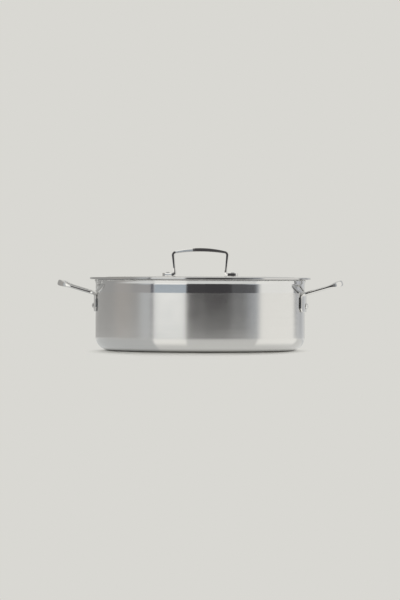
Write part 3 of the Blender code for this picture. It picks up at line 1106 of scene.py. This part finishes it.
@dataclass
class Studio:
    """The floor, the light and the surroundings.

    wall_radius is the pan's and camera_bearing the camera's, which together say what the
    wall mirrors where. In the steel the table glows with painted light: left_glow, dimmer as
    painted shade, left of the left softbox, table_glow right of it, far_glow past far_radius, and
    pool_glow, a painted pool of light, where a softbox would light it.
    """

    wall_radius: float
    camera_bearing: float
    backdrop: Colour = (0.694, 0.687, 0.651)
    floor_size: float = 12.0
    floor_cells: int = 8
    shadow_radius: float = 0.27
    shadow_fade: float = 0.10
    shadow_squeeze: float = 2.4
    table_radius: float = 0.350
    table_edge: float = 0.030
    contact_radius: float = 0.1318
    contact_edge: float = 0.0050
    pool_radius: float = 0.1485
    pool_edge: float = 0.010
    line_edge: float = 0.002
    table_glow: Colour = (0.78, 0.78, 0.75)
    left_glow: Colour = (0.635, 0.645, 0.635)
    far_glow: Colour = (0.96, 0.96, 0.93)
    far_radius: float = 0.265
    far_edge: float = 0.035
    pool_glow: Colour = (1.165, 1.155, 1.10)
    sky_low: float = 0.05
    sky_high: float = 2.581
    sky_tilt_degrees: float = 65.0
    ceiling: Colour = (0.80, 0.80, 0.78)
    ceiling_height: float = 48.0
    ceiling_edge: float = 12.0
    behind_from: float = 155.0
    behind_to: float = 175.0
    behind_low: float = 20.0
    behind_high: float = 60.0
    dark: Colour = (0.085, 0.082, 0.083)
    cards: tuple[Card, ...] = (
        Card("left_wall", -181.0, -49.0, (0.45, 0.445, 0.43), 1.0),
        Card("left_wall_bright", -104.0, -78.0, (0.505, 0.485, 0.46), 8.0),
        Card("left_wall_end", -66.0, -49.0, (0.69, 0.72, 0.73), 7.0),
        Card("left_wall_strip", -75.0, -50.0, (0.45, 0.44, 0.43), 1.0, -2.2, 2.2),
        Card("left_flag", -51.2, -48.4, (0.18, 0.18, 0.20), 0.6),
        Card("left_softbox", -48.6, -11.1, (1.47, 1.45, 1.385), 0.6, paints_table_pool=True),
        Card("left_flag_strip", -51.4, -47.4, (0.17, 0.17, 0.19), 1.0, -2.4, 2.4),
        Card("front_haze", -11.1, 9.0, (0.148, 0.145, 0.144), 1.0),
        Card("right_wall", 37.0, 76.0, (0.230, 0.232, 0.234), 5.0),
        Card("right_wall_end", 58.0, 76.0, (0.54, 0.565, 0.59), 8.0),
        Card("left_strip", -47.4, -11.1, (0.51, 0.57, 0.62), 0.8, -5.0, 2.3),
        Card("right_strip", 32.0, 69.0, (0.120, 0.120, 0.124), 5.0, -2.2, 2.2),
        Card("front_strip", -11.1, 38.6, (0.070, 0.067, 0.070), 1.0, -2.2, 2.2),
        Card("right_softbox", 72.0, 138.0, (1.12, 1.11, 1.06), 4.0, paints_table_pool=True),
        Card("right_end", 133.6, 181.0, (0.67, 0.68, 0.69), 3.0),
        Card("right_shade", 144.0, 154.0, (0.55, 0.56, 0.57), 3.0),
        Card("right_end_strip", 128.5, 137.0, (0.34, 0.35, 0.36), 2.5, -2.2, 2.2),
    )

    def build(self) -> None:
        """Make the floor and the surroundings."""
        self.lay_floor()
        self.paint_surroundings()

    def right_of(self, x: Value, y: Value, bearing: float) -> Value:
        """Return 1 on the table right of the line that the wall mirrors at a bearing, else 0."""
        turn = math.radians(bearing)
        offset = self.wall_radius * math.sin(math.radians(self.camera_bearing - bearing) / 2)
        across = x * math.cos(turn) + y * math.sin(turn)
        return across.rising_near(offset, self.line_edge)

    def lay_floor(self) -> None:
        """Lay a pale floor that carries the pan's shadow and fades to the flat backdrop.

        The steel mirrors it as a table that glows with painted light and ends some 0.2 m in
        front of the pan.
        """
        shape = bmesh.new()
        cells = self.floor_cells
        bmesh.ops.create_grid(shape, x_segments=cells, y_segments=cells, size=self.floor_size / 2)
        floor = as_piece("studio_floor", shape, [])
        material = bpy.data.materials.new("pale_floor")
        floor.data.materials.append(material)
        bench = Bench(material)
        x, y, _ = bench.place()
        radius = (x * x + y * y).root()
        squeezed = x * self.shadow_squeeze
        reach = (squeezed * squeezed + y * y).root()
        away = reach.rising(self.shadow_radius, self.shadow_radius + self.shadow_fade)
        off_table = radius.rising_near(self.table_radius, self.table_edge)
        clear = radius.rising_near(self.contact_radius, self.contact_edge)
        lights = [card for card in self.cards if card.paints_table_pool]
        # A painted pool of light on the table where each softbox would light it.
        painted_pools = radius.rising_near(self.pool_radius, self.pool_edge) * sum(
            self.right_of(x, y, card.bearing_from - card.edge / 2)
            * (1 - self.right_of(x, y, card.bearing_to))
            for card in lights
        )
        right = self.right_of(x, y, lights[0].bearing_from)
        far = radius.rising_near(self.far_radius, self.far_edge)
        # The table's glow in the steel is painted light, dimmer left of the left softbox and
        # brighter far off and in each painted pool.
        glow = bench.blend(right, self.left_glow, self.table_glow)
        glow = bench.blend(far, glow, self.far_glow)
        glow = bench.blend(painted_pools, glow, self.pool_glow)
        glowing = bench.add("ShaderNodeEmission", {}, {"Color": glow})
        lit = bench.add("ShaderNodeBsdfDiffuse", {}, {"Color": self.backdrop})
        flat = bench.add("ShaderNodeEmission", {}, {"Color": self.backdrop})
        nothing = bench.add("ShaderNodeBsdfTransparent")
        table = bench.mix(off_table, bench.mix(clear, lit, glowing), nothing)
        seen = bench.mix(away * bench.ray("Camera"), lit, flat)
        surface = bench.mix(bench.ray("Glossy"), seen, table)
        bench.add("ShaderNodeOutputMaterial", {}, {"Surface": surface})

    def paint_surroundings(self) -> None:
        """Paint the backdrop for the camera, a soft sky for the floor and cards for the steel."""
        world = bpy.data.worlds.new("studio")
        bpy.context.scene.world = world
        bench = Bench(world)
        x, y, z = bench.split(bench.add("ShaderNodeTexCoord", output="Generated"))
        bearing = x.angle_over(y * -1.0)
        height = z.angle_over((x * x + y * y).root())
        seen = self.dark
        for card in self.cards:
            across = bearing.within(card.bearing_from, card.bearing_to, card.edge)
            upward = height.within(card.height_from, card.height_to, card.height_edge)
            seen = bench.blend(across * upward, seen, card.colour)
            log.info("%s spans %g degrees", card.name, card.bearing_to - card.bearing_from)
        overhead = height.rising_near(self.ceiling_height, self.ceiling_edge)
        seen = bench.blend(overhead, seen, self.ceiling)
        behind = abs(bearing).rising(self.behind_from, self.behind_to)
        behind = behind * (1 - abs(height).rising(self.behind_low, self.behind_high))
        seen = bench.blend(behind, seen, self.backdrop)
        tilt = math.radians(self.sky_tilt_degrees)
        towards_key = y * math.sin(tilt) + z * math.cos(tilt)
        level = self.sky_low + towards_key.rising(0.0, 1.0) * (self.sky_high - self.sky_low)
        sky = bench.add("ShaderNodeCombineColor", {}, {"Red": level, "Green": level, "Blue": level})
        seen = bench.blend(bench.ray("Diffuse"), seen, sky)
        seen = bench.blend(bench.ray("Camera"), seen, self.backdrop)
        shader = bench.add("ShaderNodeBackground", {}, {"Color": seen})
        bench.add("ShaderNodeOutputWorld", {}, {"Surface": shader})


@dataclass
class PhotoCamera:
    """The photograph's camera, level with the lid and a long way off."""

    image_width: float = 400.0
    image_height: float = 600.0
    sensor: float = 36.0
    pixels_per_unit: float = 3084.0
    distance: float = 4.2
    eye_height: float = 0.0980
    eye_row: float = 278.5
    pan_axis_column: float = 200.25
    bearing_degrees: float = 4.0
    roll_degrees: float = 0.20

    def build(self) -> None:
        """Place the camera and make it the scene's."""
        data = bpy.data.cameras.new("photo_camera")
        data.sensor_width = self.sensor
        data.lens = self.pixels_per_unit * self.sensor / self.image_height
        camera = bpy.data.objects.new("photo_camera", data)
        bearing = math.radians(self.bearing_degrees)
        back = Vector((math.sin(bearing), -math.cos(bearing), 0.0))
        down = math.atan((self.image_height / 2 - self.eye_row) / self.pixels_per_unit)
        aside = math.atan((self.image_width / 2 - self.pan_axis_column) / self.pixels_per_unit)
        turn = Matrix.Rotation(bearing - aside, 4, "Z")
        tilt = Matrix.Rotation(math.pi / 2 - down, 4, "X")
        roll = Matrix.Rotation(math.radians(self.roll_degrees), 4, "Z")
        place = Matrix.Translation(back * self.distance + Vector((0, 0, self.eye_height)))
        camera.matrix_world = place @ turn @ tilt @ roll
        bpy.context.scene.collection.objects.link(camera)
        bpy.context.scene.camera = camera


def main() -> None:
    """Build the pan, the lid, the studio and the camera."""
    logging.basicConfig(level=logging.INFO, format="%(name)s: %(message)s")
    bpy.context.scene.view_settings.view_transform = "Standard"
    pan = PanShell()
    pan.build()
    LoopHandles(pan).build()
    lid = Lid(pan)
    lid.build()
    LidHandle(lid).build()
    camera = PhotoCamera()
    camera.build()
    Studio(pan.wall_radius, camera.bearing_degrees).build()


if __name__ == "__main__":
    main()
